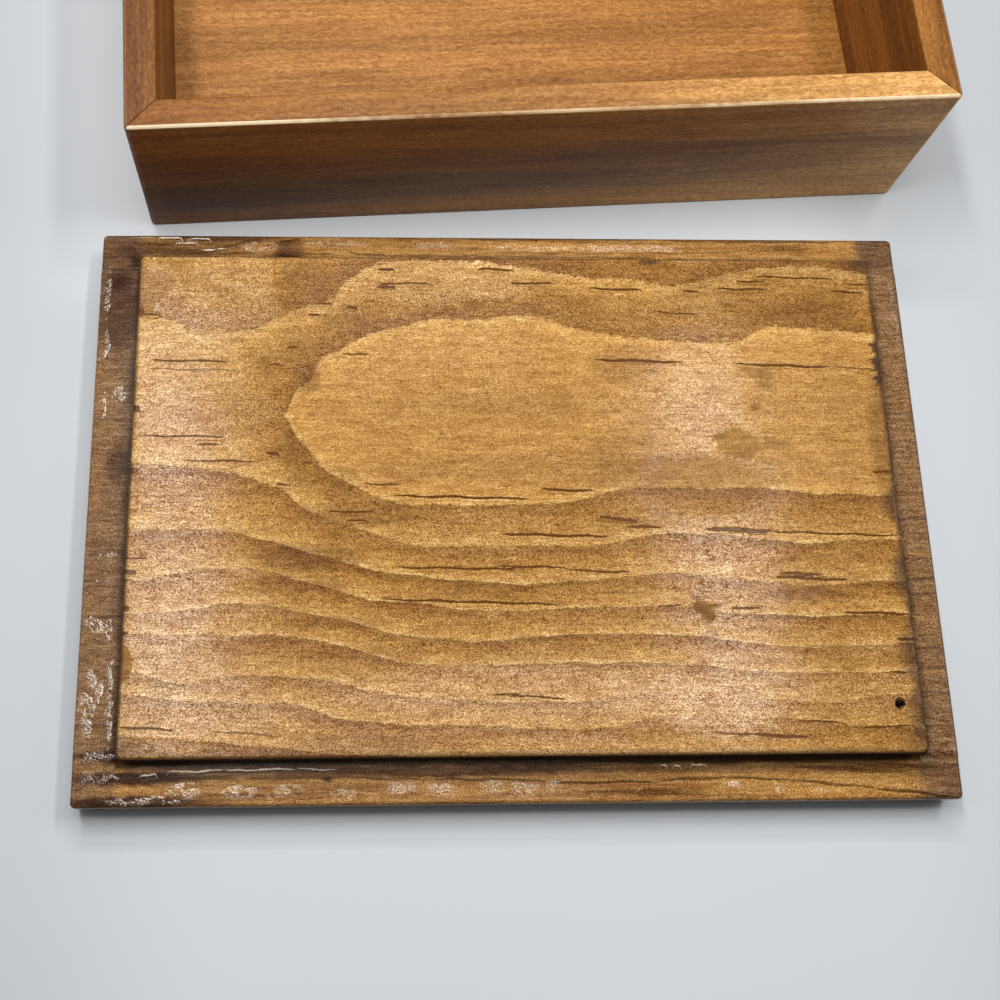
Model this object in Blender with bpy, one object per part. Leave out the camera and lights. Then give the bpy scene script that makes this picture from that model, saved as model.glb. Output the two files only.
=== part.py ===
"""Wooden trinket box with a lift-off rebated lid.

Four mitred walls hold a bottom board in a rebate that runs round their underside. The lid is one thick
board, rebated on all four sides, so that a plug is left that drops between the walls. The box stands
upright, and its lid lies upside down on the same surface in front of it.

Metres, +Z up, +Y towards the back of the box. The origin is the middle of the surface that both stand on.
"""

import math

import bmesh
import bpy
from mathutils import Matrix, Vector

MM = 0.001

# Box body
BOX_LENGTH = 196.0 * MM
BOX_DEPTH = 136.0 * MM
BOX_HEIGHT = 47.5 * MM
WALL_THICKNESS = 7.5 * MM
CORNER_RADIUS = 1.2 * MM
RIM_ROUND = 0.8 * MM
INNER_RIM_ROUND = 0.5 * MM

# Bottom board and the rebate that holds it
BOTTOM_THICKNESS = 5.0 * MM
REBATE_INTO_WALL = 3.5 * MM

# Gap that stands for the glue in a mitre, and round and over the bottom board
GLUE_LINE = 0.2 * MM

# Lid: how far it reaches past the walls, and the play of its plug between them. The rebates along its
# front and back were sawn last, from end to end, a little deeper than those across its ends.
LID_THICKNESS = 19.0 * MM
PLUG_HEIGHT = 8.0 * MM
LONG_REBATE_EXTRA = 0.3 * MM
END_OVERHANG = 2.0 * MM
SIDE_OVERHANG = 1.5 * MM
END_CLEARANCE = 1.1 * MM
SIDE_CLEARANCE = 0.7 * MM
PLUG_OFF_CENTRE = 0.3 * MM
LID_CORNER_RADIUS = 1.2 * MM
LID_EDGE_ROUND = 0.8 * MM
PLUG_CORNER_RADIUS = 1.5 * MM
PLUG_EDGE_ROUND = 0.7 * MM

# Pin hole in the plug, measured from the plug's right end and front side
PIN_HOLE_RADIUS = 1.15 * MM
PIN_HOLE_DEPTH = 10.0 * MM
PIN_FROM_END = 5.15 * MM
PIN_FROM_SIDE = 10.7 * MM

# Where the lid lies: turned a little, ahead of the front wall and off to the left
LID_YAW = math.radians(-3.23)
LID_GAP = 7.45 * MM
LID_SIDE_SHIFT = -12.7 * MM

# How far a cutter runs past what it cuts, and how near two heights are that count as one
OVERRUN = 5.0 * MM
SAME_LEVEL = 0.01 * MM

ROUND_SEGMENTS = 3
PIN_HOLE_SIDES = 20

# Colours (linear) and roughness of the stained and varnished pine
WALL_COLOUR = (0.19, 0.10, 0.045, 1.0)
BOTTOM_COLOUR = (0.30, 0.17, 0.08, 1.0)
LID_COLOUR = (0.38, 0.20, 0.08, 1.0)
VARNISH_ROUGHNESS = 0.42


def lid_length():
    return BOX_LENGTH + 2 * END_OVERHANG


def lid_width():
    return BOX_DEPTH + 2 * SIDE_OVERHANG


def plug_length():
    return BOX_LENGTH - 2 * WALL_THICKNESS - 2 * END_CLEARANCE


def plug_width():
    return BOX_DEPTH - 2 * WALL_THICKNESS - 2 * SIDE_CLEARANCE


def lid_reach():
    """Half the room that the turned lid takes up, along X and along Y."""
    half_length = lid_length() / 2 - LID_CORNER_RADIUS
    half_width = lid_width() / 2 - LID_CORNER_RADIUS
    along = abs(math.cos(LID_YAW))
    across = abs(math.sin(LID_YAW))
    reach_x = half_length * along + half_width * across + LID_CORNER_RADIUS
    reach_y = half_length * across + half_width * along + LID_CORNER_RADIUS
    return reach_x, reach_y


def layout():
    """Centres of the box and of the lid, with the origin in the middle of the two together."""
    reach_x, reach_y = lid_reach()
    left = min(-BOX_LENGTH / 2, LID_SIDE_SHIFT - reach_x)
    right = max(BOX_LENGTH / 2, LID_SIDE_SHIFT + reach_x)
    lid_y = -BOX_DEPTH / 2 - LID_GAP - reach_y
    front = lid_y - reach_y
    back = BOX_DEPTH / 2
    middle = Vector(((left + right) / 2, (front + back) / 2, 0))
    return -middle, Vector((LID_SIDE_SHIFT, lid_y, 0)) - middle


def remove_all():
    for thing in list(bpy.data.objects):
        bpy.data.objects.remove(thing, do_unlink=True)
    for group in list(bpy.data.collections):
        bpy.data.collections.remove(group)


def new_collection(name):
    group = bpy.data.collections.new(name)
    bpy.context.scene.collection.children.link(group)
    return group


def pine(name, colour):
    material = bpy.data.materials.new(name)
    material.use_nodes = True
    shader = material.node_tree.nodes["Principled BSDF"]
    shader.inputs["Base Color"].default_value = colour
    shader.inputs["Roughness"].default_value = VARNISH_ROUGHNESS
    shader.inputs["Metallic"].default_value = 0.0
    material.diffuse_color = colour
    return material


def add_object(name, bm, collection, material=None):
    bmesh.ops.recalc_face_normals(bm, faces=bm.faces)
    mesh = bpy.data.meshes.new(name)
    bm.to_mesh(mesh)
    bm.free()
    if material:
        mesh.materials.append(material)
    thing = bpy.data.objects.new(name, mesh)
    collection.objects.link(thing)
    return thing


def as_cutter(thing):
    thing.hide_render = True
    thing.display_type = "WIRE"
    return thing


def boolean(thing, operation, other):
    modifier = thing.modifiers.new(other.name, "BOOLEAN")
    modifier.operation = operation
    modifier.solver = "EXACT"
    modifier.object = other


def block(length, width, low, high, centre=(0.0, 0.0)):
    """Plain block from low to high, its middle over the given place."""
    bm = bmesh.new()
    bmesh.ops.create_cube(bm, size=1)
    bm.transform(Matrix.Diagonal((length, width, high - low, 1)))
    bm.transform(Matrix.Translation((centre[0], centre[1], (low + high) / 2)))
    return bm


def upright_edges(bm):
    return [edge for edge in bm.edges if edge.verts[0].co.xy == edge.verts[1].co.xy]


def level_edges(bm, height):
    """Edges of the outline at one height."""
    return [edge for edge in bm.edges if all(abs(vert.co.z - height) < SAME_LEVEL for vert in edge.verts)]


def round_edges(bm, edges, radius):
    bmesh.ops.bevel(bm, geom=edges, offset=radius, segments=ROUND_SEGMENTS, profile=0.5, affect="EDGES")


def eased_block(length, width, low, high, corner_radius, top_round, base_round, centre=(0.0, 0.0)):
    """Block with round upright corners and eased edges along its top and its base."""
    bm = block(length, width, low, high, centre)
    round_edges(bm, upright_edges(bm), corner_radius)
    if top_round:
        round_edges(bm, level_edges(bm, high), top_round)
    if base_round:
        round_edges(bm, level_edges(bm, low), base_round)
    return bm


def wall_section():
    """Outline of a wall seen from its end, as (in from the outer face, height) points.

    It runs up the outer face, over the rounded inner edge of the rim, and down to the rebate that
    the bottom board sits in.
    """
    rebate_top = BOTTOM_THICKNESS + GLUE_LINE
    rebate_in = WALL_THICKNESS - REBATE_INTO_WALL
    points = [(0.0, 0.0), (0.0, BOX_HEIGHT)]
    for step in range(ROUND_SEGMENTS + 1):
        angle = math.pi / 2 * step / ROUND_SEGMENTS
        inward = WALL_THICKNESS - INNER_RIM_ROUND * (1 - math.sin(angle))
        height = BOX_HEIGHT - INNER_RIM_ROUND * (1 - math.cos(angle))
        points.append((inward, height))
    points += [(WALL_THICKNESS, rebate_top), (rebate_in, rebate_top), (rebate_in, 0.0)]
    return points


def cut_and_close(bm, place, outward):
    """Saws off what lies outward of a plane and closes the cut."""
    geometry = bm.verts[:] + bm.edges[:] + bm.faces[:]
    cut = bmesh.ops.bisect_plane(bm, geom=geometry, plane_co=place, plane_no=outward, clear_outer=True)
    rim = [item for item in cut["geom_cut"] if isinstance(item, bmesh.types.BMEdge)]
    bmesh.ops.contextual_create(bm, geom=rim)


def wall(name, length, span, turn, box_centre, envelope, collection, material):
    """One wall board: its section run along X, mitred at both ends and turned to its side of the box.

    span is how far apart the outer faces of this wall and of the one opposite are.
    """
    outer = -span / 2
    bm = bmesh.new()
    section = [bm.verts.new((-length / 2, outer + inward, height)) for inward, height in wall_section()]
    end = bm.faces.new(section)
    board = bmesh.ops.extrude_face_region(bm, geom=[end])
    moved = [item for item in board["geom"] if isinstance(item, bmesh.types.BMVert)]
    bmesh.ops.translate(bm, verts=moved, vec=(length, 0, 0))
    for side in (-1, 1):
        outward = Vector((side, 1, 0)).normalized()
        corner = Vector((side * length / 2, outer, 0))
        cut_and_close(bm, corner - outward * GLUE_LINE / 2, outward)
    bm.transform(Matrix.Rotation(turn, 4, "Z"))
    board = add_object(name, bm, collection, material)
    board.location = box_centre
    boolean(board, "INTERSECT", envelope)
    return board


def make_body(centre, parts, cutters):
    """The four walls and the bottom board."""
    stained = pine("stained_pine_walls", WALL_COLOUR)
    bottom_pine = pine("stained_pine_bottom", BOTTOM_COLOUR)
    outline = eased_block(BOX_LENGTH, BOX_DEPTH, 0.0, BOX_HEIGHT, CORNER_RADIUS, RIM_ROUND, RIM_ROUND)
    envelope = as_cutter(add_object("box_envelope", outline, cutters))
    envelope.location = centre
    sides = [
        ("front_wall", BOX_LENGTH, BOX_DEPTH, 0.0),
        ("right_wall", BOX_DEPTH, BOX_LENGTH, math.pi / 2),
        ("back_wall", BOX_LENGTH, BOX_DEPTH, math.pi),
        ("left_wall", BOX_DEPTH, BOX_LENGTH, -math.pi / 2),
    ]
    for name, length, span, turn in sides:
        wall(name, length, span, turn, centre, envelope, parts, stained)
    around = 2 * (WALL_THICKNESS - REBATE_INTO_WALL + GLUE_LINE)
    base = block(BOX_LENGTH - around, BOX_DEPTH - around, 0.0, BOTTOM_THICKNESS)
    bottom = add_object("bottom_panel", base, parts, bottom_pine)
    bottom.location = centre


def make_lid(centre, parts, cutters):
    """One board, show face down: the lip below, the plug standing up from it, and the pin hole."""
    lip_top = LID_THICKNESS - PLUG_HEIGHT
    lip = eased_block(
        lid_length(), lid_width(), 0.0, lip_top - LONG_REBATE_EXTRA,
        LID_CORNER_RADIUS, LID_EDGE_ROUND, LID_EDGE_ROUND,
    )
    lid = add_object("lid_board", lip, parts, pine("stained_pine_lid", LID_COLOUR))
    end_lips = block(lid_length(), plug_width(), lip_top / 2, lip_top)
    ends = [edge for edge in level_edges(end_lips, lip_top) if edge.verts[0].co.x == edge.verts[1].co.x]
    round_edges(end_lips, ends, LID_EDGE_ROUND)
    raised_ends = as_cutter(add_object("lid_end_lips", end_lips, cutters))
    plug_shape = eased_block(
        plug_length(), plug_width(), lip_top / 2, LID_THICKNESS,
        PLUG_CORNER_RADIUS, PLUG_EDGE_ROUND, 0.0, (PLUG_OFF_CENTRE, 0.0),
    )
    plug = as_cutter(add_object("lid_plug", plug_shape, cutters))
    hole = bmesh.new()
    bmesh.ops.create_cone(
        hole, cap_ends=True, segments=PIN_HOLE_SIDES, depth=PIN_HOLE_DEPTH + OVERRUN,
        radius1=PIN_HOLE_RADIUS, radius2=PIN_HOLE_RADIUS,
    )
    pin_x = PLUG_OFF_CENTRE + plug_length() / 2 - PIN_FROM_END
    pin_y = -plug_width() / 2 + PIN_FROM_SIDE
    pin_z = LID_THICKNESS - PIN_HOLE_DEPTH + (PIN_HOLE_DEPTH + OVERRUN) / 2
    hole.transform(Matrix.Translation((pin_x, pin_y, pin_z)))
    pin_hole = as_cutter(add_object("pin_hole", hole, cutters))
    for thing in (lid, raised_ends, plug, pin_hole):
        thing.location = centre
        thing.rotation_euler = (0, 0, LID_YAW)
    boolean(lid, "UNION", raised_ends)
    boolean(lid, "UNION", plug)
    boolean(lid, "DIFFERENCE", pin_hole)


def main():
    remove_all()
    parts = new_collection("wooden_trinket_box")
    cutters = new_collection("cutters")
    box_centre, lid_centre = layout()
    make_body(box_centre, parts, cutters)
    make_lid(lid_centre, parts, cutters)
    bpy.context.view_layer.update()


main()
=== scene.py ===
"""Looks of the wooden trinket box: the box stands behind, and its lid lies upside down in front of it.

The lid is one rebated pine board. Lengths along it (u) and across it (v) are in millimetres from the
middle of the lid, u to the right and v away from the camera. The plug is the raised middle that drops into
the box, and the lips are the rebates round it.
"""

import math

import bpy
import numpy as np
from mathutils import Euler, Matrix, Vector


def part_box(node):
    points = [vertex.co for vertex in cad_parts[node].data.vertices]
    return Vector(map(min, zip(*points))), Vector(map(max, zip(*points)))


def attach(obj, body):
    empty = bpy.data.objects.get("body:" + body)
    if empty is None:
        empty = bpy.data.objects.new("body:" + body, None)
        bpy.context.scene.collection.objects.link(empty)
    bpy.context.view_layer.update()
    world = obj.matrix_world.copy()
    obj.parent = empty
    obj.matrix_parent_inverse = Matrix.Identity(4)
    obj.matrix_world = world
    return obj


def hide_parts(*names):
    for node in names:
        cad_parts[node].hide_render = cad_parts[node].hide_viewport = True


MM = 0.001

# Camera, in the frame of the part: place in mm, turn in degrees, lens and sensor in mm, near clip in metres
CAMERA_POSITION = (-47.5, -155.4, 322.5)
CAMERA_TURN = (17.693, -2.373, -3.963)
CAMERA_LENS = 49.17
CAMERA_SENSOR = 36.0
CAMERA_SHIFT = (0.0941, -0.0516)
CAMERA_CLIP = 0.01

# Lamps of a light tent that face straight down: size, place over the floor, and watts
LAMP_HEIGHT = 600.0
LAMPS_ABOVE = {
    "strip_left": ((54.0, 307.0), (-154.0, 81.5), 1.58),
    "strip_right": ((56.0, 262.0), (214.0, 59.0), 1.38),
    "glow_back": ((157.0, 72.0), (30.0, 217.0), 0.2),
    "glow_front": ((300.0, 60.0), (10.0, -55.0), 0.5),
    "line_front": ((250.0, 10.0), (-20.0, -152.0), 0.11),
    "line_back": ((250.0, 24.0), (25.0, 306.0), 0.39),
    "rim_strip": ((300.0, 50.0), (-60.0, 385.0), 0.9),
}

# Lamps beside and behind: size, place, the point that each faces, and watts
LAMPS_AROUND = {
    "side_left": ((260.0, 300.0), (-430.0, -30.0, 540.0), (-60.0, -30.0, 0.0), 0.36),
    "side_right": ((260.0, 300.0), (560.0, -30.0, 540.0), (60.0, -30.0, 0.0), 0.44),
    "back_panel": ((1600.0, 420.0), (0.0, 750.0, 900.0), (0.0, 0.0, 0.0), 0.46),
}
LAMP_COLOUR = (1.0, 0.985, 0.96)
ROOM_COLOUR = (0.97, 0.98, 1.0, 1.0)
ROOM_STRENGTH = 0.06

# Paper floor, in metres: painted shade dims it beside the lid, most of all behind it; painted light in the
# gap
FLOOR_HALF = 3.0
FLOOR_DROP = 0.00002
BESIDE = (0.07, 0.13)
BEHIND = (-0.06, 0.03)
IN_GAP = (-0.02, -0.002)
PAINTED_SHADE_BESIDE = 0.12
PAINTED_SHADE_BEHIND = 0.08
PAINTED_GAP_LIGHT = 0.2

# Height of the box's rim, whose outer edge on the walls is painted pale: worn stain and a painted highlight
RIM_HEIGHT = 47.5

# The lid, as in the CAD model
LID_YAW = math.radians(-3.23)
LID_CORNER = 1.2
PLUG_U = 89.4
PLUG_V = 59.8
PLUG_SHIFT = 0.3
PLUG_CORNER = 1.5
PLUG_ROUND = 0.7
END_LIP = 11.0
LONG_LIP = 10.7
EDGE_ROUND = 0.8
PIN_HOLE = (84.5, -49.05)
PIN_RADIUS = 1.15
PIN_DEPTH = 9.5

# What the scene adds to the lid's shape, in mm: slopes of the left and front lips, sunken skin, raised rings
LEFT_FALL = 0.024
FRONT_FALL = 0.018
SKIN_WAVES = 0.045
SKIN_BUMPS = 0.02
SKIN_SINK = 0.066
RING_RIDGE = 0.014

# Over this height a vertex of the lid belongs to the plug
PLUG_FOOT = LONG_LIP + 0.6

# The lid's mesh, in mm: gaps on the plug's top, the zone with finer gaps at its edges, and the part of
# that zone that keeps its width. Then rows of faces, and how coarse and how far in the show face is
STEP_U = 1.0
STEP_V = 0.4
EDGE_STEP = 0.25
EDGE_ZONE = 6.0
EDGE_KEEP = 1.5
ARC_ROWS = 5
WALL_ROWS = 14
LIP_ROWS = 34
SIDE_ROWS = 12
SHOW_STEP = 4
SHOW_INSET = 3.0

# Random lattice behind every wander, and where the middle of the lid lies on it
LATTICE = 64
LATTICE_START = (29.0, 31.0)

# Growth rings on the plug, outwards from the heart: the outer edge of each pale line
HEART_TIP = (-53.2, 18.6)
HEART_UPPER = (
    (-52.6, 20.8), (-51.7, 24.5), (-48.3, 27), (-47, 28.3), (-46.8, 30.4), (-45.1, 33.6), (-40.8, 35.4),
    (-37, 37.9), (-33.3, 39.8), (-25.1, 41.7), (-18.3, 43.7), (-8, 43.1), (0, 44.3), (5.4, 44.4),
    (10.6, 43.1), (13.3, 41.8), (21.8, 39.8), (35, 38.3), (48, 37.5), (52.7, 37.5), (56, 38.2),
    (61.3, 41.1), (65.2, 41.8), (77.7, 41.3), (92, 39.6),
)
HEART_LOWER = (
    (-52, 15.1), (-50.1, 12.6), (-47, 9.2), (-45.4, 6.4), (-42, 4.2), (-38.3, 2), (-33.9, -0.5),
    (-29.5, -2.1), (-24.5, -2.9), (-4.5, -3.1), (8.7, -2.9), (13.9, -2.2), (18.5, -0.9), (23.1, 0.4),
    (28.4, 1.1), (41.6, 1.2), (45.5, 0.8), (51.4, 1.1), (58, 1.1), (64.6, 0.2), (71.2, -0.4), (92, -0.8),
)
RINGS_ABOVE = (
    ((-92, 44), (-82, 43.6), (-79.5, 42), (-76.4, 40.6), (-71.4, 40.1), (-65.8, 40), (-60.8, 40.6),
     (-57, 42.8), (-52, 45.4), (-44.5, 47.8), (-42, 48.9), (-40.8, 51.1), (-40.6, 52.6), (-38.3, 53.9),
     (-35.8, 56), (-32.6, 57.6), (-23.3, 59), (-13.9, 58.9), (-4.5, 58.3), (12, 55.8), (18.5, 54.8),
     (31.7, 54), (38.3, 52.5), (45.5, 53.4), (54.7, 55.9), (58.7, 57.1), (75.8, 58.1), (81, 57.6),
     (92, 55.8)),
)
RINGS_BELOW = (
    ((-92, 7.4), (-80, 6.6), (-70, 5.6), (-62, 3.9), (-54.5, 0.8), (-52, -1.4), (-48.9, -3.9), (-42, -6.8),
     (-34.5, -9.4), (-26.4, -11.9), (-21.4, -12.9), (-4.5, -12.9), (17.2, -12.9), (23.8, -11.6),
     (32.3, -10), (37.6, -9.8), (48.1, -10.2), (58.7, -11.6), (68, -12.2), (77.7, -11.6), (92, -11.3)),
    ((-92, -9.5), (-80, -8.6), (-73, -8.4), (-66, -9.1), (-54.5, -12.1), (-45.8, -14.9), (-34.5, -18),
     (-24.5, -19.6), (-12, -21), (0, -21.7), (15.2, -21), (25.1, -19.8), (36.3, -19), (46.8, -20),
     (57.3, -21.6), (69.8, -22.4), (81, -21.4), (92, -21.2)),
    ((-92, -20.4), (-83.9, -19.9), (-73.3, -18.3), (-62.6, -17.6), (-58.3, -18), (-50.8, -20.4),
     (-43.3, -22.4), (-33.3, -25.2), (-23.3, -25.8), (-13.9, -27.5), (2.1, -27.5), (21.8, -26.9),
     (38.9, -26.9), (48.1, -28.5), (67.9, -29.4), (81, -29.1), (92, -29.3)),
    ((-92, -28.1), (-76.4, -27.5), (-71.4, -27.1), (-68.9, -26.1), (-67, -25.7), (-62, -25.8),
     (-57, -26.1), (-48.3, -27.9), (-38.3, -29.8), (-30.8, -32.3), (-27, -33.2), (-17, -34.1),
     (-10, -34.8), (-3.3, -34.3), (3.4, -33.7), (15.2, -33.1), (28.4, -33), (41.6, -33.9), (51.4, -35.3),
     (57, -36.1), (67.9, -36.4), (81, -36), (92, -35.5)),
    ((-92, -32.5), (-70, -32.8), (-63.9, -33), (-58, -32.7), (-47, -33.8), (-38.9, -35.8), (-27, -39.4),
     (-17, -40.2), (-4.5, -39.9), (10, -39.6), (25.1, -39.5), (38.3, -40.2), (51.4, -41.5), (64.6, -42.3),
     (84.3, -41.8), (92, -41.8)),
    ((-92, -40.8), (-85.8, -41.1), (-80.1, -42.8), (-77, -43.5), (-72, -43.5), (-68.3, -42.4),
     (-63.9, -41.9), (-53.3, -42.1), (-43.9, -43), (-40.1, -43.8), (-37, -44.9), (-33.9, -45.9),
     (-23.3, -46.9), (-10.8, -47.8), (5.4, -48.4), (14, -48.1), (20.5, -47.1), (24.4, -46.4), (30, -46),
     (46.8, -46.8), (58.7, -48.1), (69.8, -48.9), (74.4, -48.4), (78.4, -47.6), (83, -47.1), (92, -47.1)),
    ((-92, -45.3), (-82.6, -46.4), (-70, -47.6), (-57.6, -47.8), (-52, -48), (-48.3, -48.8), (-42, -51.1),
     (-37, -52.1), (-26.4, -53), (-10.8, -53.2), (-1.4, -53.8), (12, -54.3), (18.5, -53.9), (23.1, -53.1),
     (27.1, -51.9), (31.7, -51.1), (45, -51), (60, -52.3), (74.4, -53.9), (92, -54.6)),
    ((-92, -54.7), (-76.4, -55.7), (-67, -56.6), (-57.6, -57.4), (-47, -58.6), (-20, -60.2), (20, -60.8),
     (92, -60.9)),
)

# Ring numbers off the traced lines: their rise left of the heart's tip and its reach, the millimetres that
# each further ring takes above and below, and the depth over which the heart's number falls to 0
TIP_RISE = 0.62
TIP_REACH = 17.0
SPACING_ABOVE = 26.0
SPACING_BELOW = 9.0
HEART_DEPTH = 24.0

# Colours over one growth ring, from just past a pale line to the next, sharp or soft, and over the heart
SHARP_BAND = (
    (0.0, 146, 97, 44), (0.1, 154, 103, 47), (0.3, 176, 121, 55), (0.6, 193, 140, 69),
    (0.82, 204, 150, 79), (0.92, 213, 162, 92), (0.965, 220, 172, 106), (0.995, 208, 158, 90),
)
SOFT_BAND = ((0.0, 168, 116, 57), (0.5, 183, 130, 64), (0.95, 205, 153, 83), (1.0, 190, 140, 74))
HEART_BAND = (
    (0.0, 194, 141, 75), (0.5, 200, 146, 78), (0.9, 208, 152, 82), (0.96, 220, 168, 96),
    (1.0, 210, 157, 86),
)

# Colours of the lips over a noise, along the long sides and at the ends, and a factor on the plug's colours
LONG_LIP_BAND = ((0.34, 108, 68, 32), (0.44, 152, 106, 58), (0.56, 184, 137, 77), (0.68, 146, 100, 52))
END_LIP_BAND = ((0.34, 108, 78, 54), (0.5, 134, 101, 70), (0.66, 156, 119, 82))
PLUG_TINT = (0.9, 0.95, 0.975, 1.0)

# Dark resin streaks on the plug: start u, end u, start v, end v, width, darkness
STREAKS = (
    (-86, -66.4, 32.6, 32.4, 0.45, 0.9), (-87, -63, 30.5, 30.1, 0.3, 0.5),
    (-87, -67, 13.8, 13.6, 0.4, 0.8), (-74.5, -68, 11.8, 11.6, 0.4, 0.7),
    (-77.6, -59, 7.8, 7.6, 0.4, 0.75), (-32, -27, 56.5, 56.3, 0.6, 1), (-32, -18, 52.9, 52.7, 0.4, 0.8),
    (-32.2, -27, 51.8, 51.7, 0.55, 0.9), (-39.5, -36.4, 46.5, 46.3, 0.6, 0.9),
    (-48.9, -45, 44.4, 44.2, 0.5, 0.9), (-46.4, -42.6, 47.5, 47.4, 0.45, 0.7),
    (-53.9, -50.8, 36.1, 36, 0.45, 0.7), (-57.5, -54.5, 31.6, 31.5, 0.4, 0.7),
    (-40.8, -33.2, 34.5, 34.3, 0.35, 0.7), (-58.3, -54.3, 9.7, 9.4, 0.7, 0.9),
    (-55.8, -52, 2, 1.9, 0.4, 0.8), (-36, -25.8, 2.2, 1.9, 0.4, 0.6), (-30, 4.5, -0.7, -1.5, 0.45, 0.95),
    (-43.9, -32, -4.4, -4.6, 0.4, 0.8), (-40, -34.5, -6.6, -6.8, 0.4, 0.8),
    (-7.5, 2.2, 56.8, 56.5, 0.5, 0.9), (0.1, 11.5, 53.1, 52.9, 0.5, 0.9),
    (19.5, 33.2, 51.8, 51.3, 0.5, 0.95), (42.5, 47, 51.1, 51, 0.45, 0.8), (50.6, 64, 51.9, 51.6, 0.5, 0.9),
    (79.5, 87.8, 51.3, 51, 0.5, 0.9), (56, 64, 53.9, 53.7, 0.45, 0.9), (60, 81, 55.2, 54.6, 0.4, 0.8),
    (83, 89.6, 53.4, 53.2, 0.4, 0.8), (35, 46.8, 45.6, 45, 0.35, 0.7), (19.5, 42, 33.1, 32.5, 0.6, 0.95),
    (53, 78, 32.2, 31.3, 0.5, 0.9), (76, 88, 31.4, 31, 0.3, 0.6), (84.3, 90, 5.1, 4.9, 0.5, 0.8),
    (5.4, 18.8, 0.8, 0.4, 0.5, 0.9), (18.5, 28.6, -5.9, -6.9, 0.55, 0.95),
    (25, 33.9, -8.1, -8.5, 0.5, 0.95), (-5, 22, -9.8, -10.6, 0.5, 0.95), (43, 60.5, -8.7, -9.5, 0.8, 1),
    (58, 89.8, -9.4, -10.6, 0.4, 0.85), (-5, 12, -17.3, -17.9, 0.4, 0.7),
    (11.5, 26.5, -18.4, -19, 0.4, 0.75), (59.8, 70.6, -19.3, -19.6, 0.5, 0.95),
    (58.2, 76.6, -20.2, -21, 0.5, 0.95), (-33, 10.8, -24.9, -26.4, 0.45, 0.9),
    (31, 37.6, -26.7, -26.8, 0.35, 0.7), (48, 55.5, -27.2, -27.5, 0.45, 0.9),
    (73.5, 89.8, -28.4, -28.9, 0.5, 0.95), (85.3, 90, -34.5, -34.6, 0.6, 0.9),
    (83.7, 87, -42.1, -42.3, 0.5, 0.9), (-4.5, 10, -46.5, -47.5, 0.35, 0.7),
    (60.4, 72.6, -52.5, -53.4, 0.35, 0.7), (75, 87.8, -54.2, -54.1, 0.35, 0.7),
    (40.8, 52, -55.1, -55.7, 0.35, 0.6), (50, 63.5, -55.6, -56.4, 0.55, 0.95),
    (-89.2, -76, -52.9, -53.7, 0.45, 0.75), (-70, -53, -53.8, -55.2, 0.35, 0.5),
    (-29.5, 1, -17.6, -18.2, 0.4, 0.7), (-7.8, 0.8, -46.4, -46.5, 0.35, 0.7),
    (-89.6, -86.3, -18.5, -18.7, 0.8, 1), (-89.6, -84, -15.2, -15.4, 0.35, 0.7),
    (-89.6, -87.6, -26.6, -26.7, 0.9, 1), (-89.6, -87.6, -32.3, -32.4, 0.7, 0.9),
    (-89.6, -87.4, 45.1, 45, 1.1, 0.9), (-89, -83.3, 44.3, 44.2, 0.4, 0.7),
    (-89.6, -87.4, 20.5, 20.4, 1.1, 1), (-89.6, -87.2, 5.5, 5.3, 1, 1), (-71.5, -66, -58, -58.2, 0.4, 0.5),
)

# How far each streak waves sideways in mm, and its half width as a share of the listed width
STREAK_WAVE = 0.12
STREAK_HALF = 0.72

# Where the brush left little varnish, as outlines on the plug
BARE_PATCHES = (
    ((54, 32), (57.5, 31), (63.5, 31.6), (62.5, 27.5), (60.2, 25), (58, 28)),
    ((47.6, 13.4), (49.5, 15.2), (52.7, 16.4), (56, 13.9), (58.7, 12.8), (62, 14.2), (63.2, 13.2),
     (66.3, 11.7), (61.3, 11.3), (57.3, 9.9), (56.7, 8), (54, 8.4), (50.1, 9), (48.5, 10.4)),
    ((56.8, 21.5), (59.6, 21.2), (59.4, 20), (57.6, 20.3)),
    ((-91, 57.8), (-80.5, 54.6), (-82.6, 49.5), (-86, 44.8), (-91, 45.6)),
    ((-10.8, 48.2), (-8.6, 48.6), (-6.2, 47.6), (-7, 46.6), (-9.4, 46.2)),
    ((39.6, -26.4), (41, -25), (42.8, -26), (45.6, -26.4), (43.8, -27.6), (43.8, -30.6), (42.4, -31.4),
     (41.6, -29.2), (40, -28.4)),
)

# A bare spot and a dull area, as ovals: u, v, reach along, reach across
BARE_SPOT = (-89.6, -39.3, 3.1, 4.5)
DULL_AREA = (45, 1.5, 18, 9)
DULL_SHARE = 0.55

# Where the stain reaches in from the plug's right edge: middle v and half length
STAIN_LOBES = ((-20, 8.5), (-38, 9), (-52, 9), (-3, 5))

# Ragged teeth of stain on that edge: their middle v, and how far off it they end and are all there
TEETH_MIDDLE = 32.5
TEETH_HALF = (7.0, 5.0)

# Thin darkening along the plug's other edges, painted shade at the back: where it ends, where full,
# raggedness, strength
EDGE_DARKENING = {"left": (1.3, 0.3, 0.5, 0.6), "front": (2.0, 0.5, 0.5, 0.6), "back": (1.0, 0.2, 0.4, 0.8)}

# Stained spots on the plug: u, v, stretch along and across, where each ends, where it is full, strength
STAIN_SPOTS = (
    (89.4, 59.8, 1.0, 1.6, 10.0, 2.0, 0.9), (-89.4, -59.8, 0.5, 1.0, 7.0, 1.0, 0.6),
    (89.4, -59.8, 1.0, 0.8, 9.0, 1.0, 0.6), (35.0, 58.9, 0.55, 1.6, 2.0, 0.6, 0.8),
)

# How far the darkening at the plug's foot, stain and painted shade, reaches over the front, back, left and
# right lip
FOOT_REACH = (1.9, 5.2, 3.1, 5.0)

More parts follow.
